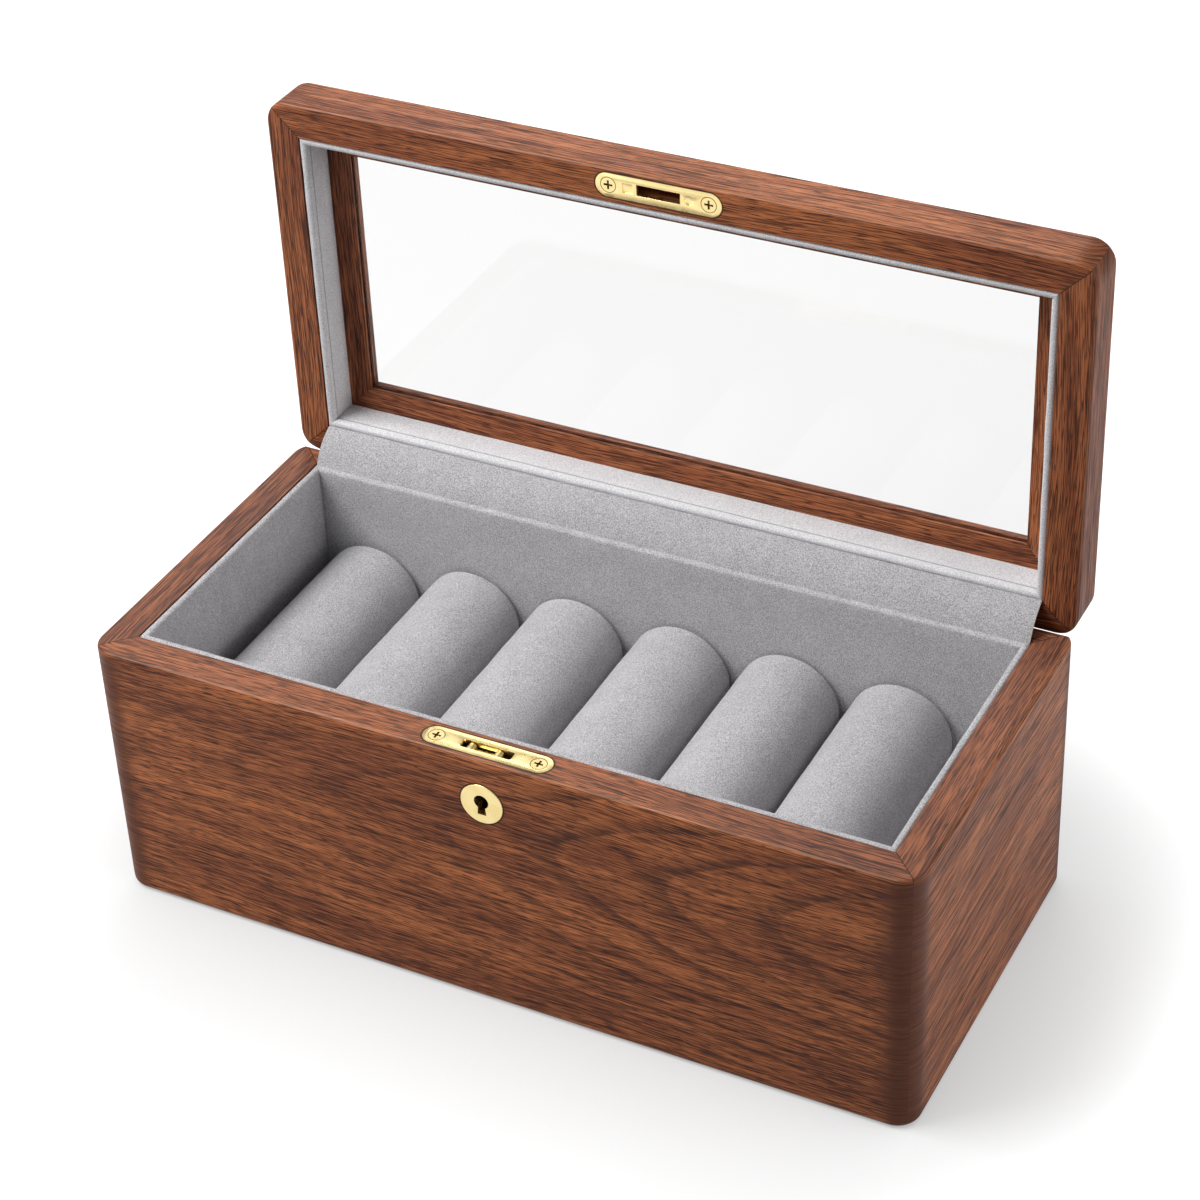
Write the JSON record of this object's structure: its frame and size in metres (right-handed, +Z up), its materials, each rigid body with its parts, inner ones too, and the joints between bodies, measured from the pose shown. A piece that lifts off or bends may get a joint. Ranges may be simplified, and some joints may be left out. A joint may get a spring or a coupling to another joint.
{
  "type": "bangle box",
  "caption": "Lined wooden box with a hinged glass lid, padded rolls across the case for bangles, and a keyed lock let into the front wall.",
  "frame": {"origin": "middle of the case's underside, on the surface it stands on", "axes": "+Z up, +X to the right along the box's length as seen from the lock, +Y from the lock to the hinges"},
  "size_m": [0.32, 0.1694, 0.2596],
  "materials": {
    "walnut": "satin oiled walnut",
    "plywood": "sanded birch plywood",
    "velvet": "short-pile grey velvet",
    "card": "wound grey-brown card",
    "glass": "clear polished",
    "brass": "satin",
    "spring_steel": "blued"
  },
  "bodies": {
    "case": {"base_back_wall": "walnut", "base_front_wall": "walnut", "base_left_wall": "walnut", "base_right_wall": "walnut", "bolt_guide_pin": "brass", "bottom_panel": "plywood", "escutcheon": "brass", "floor_lining": "velvet", "front_cradle": "velvet", "hinge_base_screws": "brass", "hinge_cover_strip": "velvet", "key_pin": "brass", "left_hinge_base_leaf": "brass", "left_hinge_pin": "brass", "lining_back": "velvet", "lining_front": "velvet", "lining_left": "velvet", "lining_right": "velvet", "lock_case": "brass", "lock_face_plate": "brass", "lock_plate_screws": "brass", "lock_spring": "spring_steel", "rear_cradle": "velvet", "right_hinge_base_leaf": "brass", "right_hinge_pin": "brass"},
    "lid": {"glass_pane": "glass", "hinge_lid_screws": "brass", "left_hinge_lid_leaf": "brass", "lid_back_rail": "walnut", "lid_front_rail": "walnut", "lid_left_rail": "walnut", "lid_lining_back": "velvet", "lid_lining_front": "velvet", "lid_lining_left": "velvet", "lid_lining_right": "velvet", "lid_right_rail": "walnut", "right_hinge_lid_leaf": "brass", "strike_plate": "brass", "strike_screws": "brass"},
    "bolt": {"lock_bolt": "brass"},
    "roll_1": {"roll_core_1": "card", "roll_ends_1": "velvet", "roll_sleeve_1": "velvet"},
    "roll_2": {"roll_core_2": "card", "roll_ends_2": "velvet", "roll_sleeve_2": "velvet"},
    "roll_3": {"roll_core_3": "card", "roll_ends_3": "velvet", "roll_sleeve_3": "velvet"},
    "roll_4": {"roll_core_4": "card", "roll_ends_4": "velvet", "roll_sleeve_4": "velvet"},
    "roll_5": {"roll_core_5": "card", "roll_ends_5": "velvet", "roll_sleeve_5": "velvet"},
    "roll_6": {"roll_core_6": "card", "roll_ends_6": "velvet", "roll_sleeve_6": "velvet"}
  },
  "joints": [
    {"name": "lid_hinge", "type": "hinge", "parent": "case", "child": "lid", "pos_m": [0, 0.07285, 0.11125], "axis": [-1, 0, 0], "range_deg": [-90, 0], "deforming": ["hinge_cover_strip"]},
    {"name": "bolt_throw", "type": "slide", "parent": "case", "child": "bolt", "axis": [0.4226, 0, 0.9063], "range_m": [0, 0.0065]},
    {"name": "roll_1_lift", "type": "slide", "parent": "case", "child": "roll_1", "axis": [0, 0, 1], "range_m": [0, 0.12]},
    {"name": "roll_2_lift", "type": "slide", "parent": "case", "child": "roll_2", "axis": [0, 0, 1], "range_m": [0, 0.12]},
    {"name": "roll_3_lift", "type": "slide", "parent": "case", "child": "roll_3", "axis": [0, 0, 1], "range_m": [0, 0.12]},
    {"name": "roll_4_lift", "type": "slide", "parent": "case", "child": "roll_4", "axis": [0, 0, 1], "range_m": [0, 0.12]},
    {"name": "roll_5_lift", "type": "slide", "parent": "case", "child": "roll_5", "axis": [0, 0, 1], "range_m": [0, 0.12]},
    {"name": "roll_6_lift", "type": "slide", "parent": "case", "child": "roll_6", "axis": [0, 0, 1], "range_m": [0, 0.12]}
  ]
}
